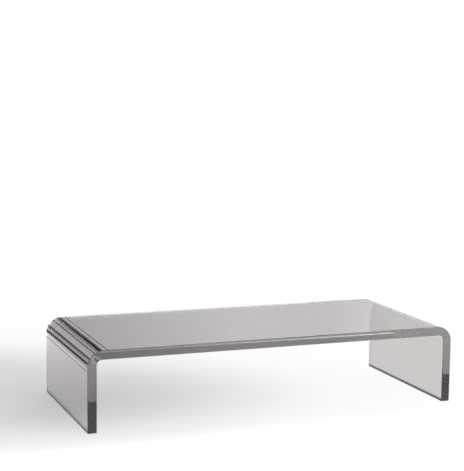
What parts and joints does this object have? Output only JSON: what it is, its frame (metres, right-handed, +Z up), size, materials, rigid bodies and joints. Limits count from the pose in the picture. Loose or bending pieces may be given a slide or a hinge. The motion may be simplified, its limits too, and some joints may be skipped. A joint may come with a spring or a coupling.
{
  "type": "monitor riser stand",
  "caption": "Low bridge-shaped stand bent from a thick sheet of smoked clear acrylic, on anti-slip foot strips, to raise a monitor above a desk.",
  "frame": {"origin": "centre of the footprint, on the surface that the stand rests on", "axes": "+X to the right along the width, +Y to the back, +Z up"},
  "size_m": [0.51, 0.22, 0.1042],
  "materials": {
    "smoked_acrylic": "clear smoked acrylic, polished faces and edges",
    "adhesive_film": "thin grey double-sided adhesive film",
    "strip_rubber": "dark grey matt anti-slip rubber"
  },
  "bodies": {
    "root": {"riser_sheet": "smoked_acrylic", "left_strip_adhesive": "adhesive_film", "right_strip_adhesive": "adhesive_film", "left_foot_strip": "strip_rubber", "right_foot_strip": "strip_rubber"}
  },
  "joints": []
}
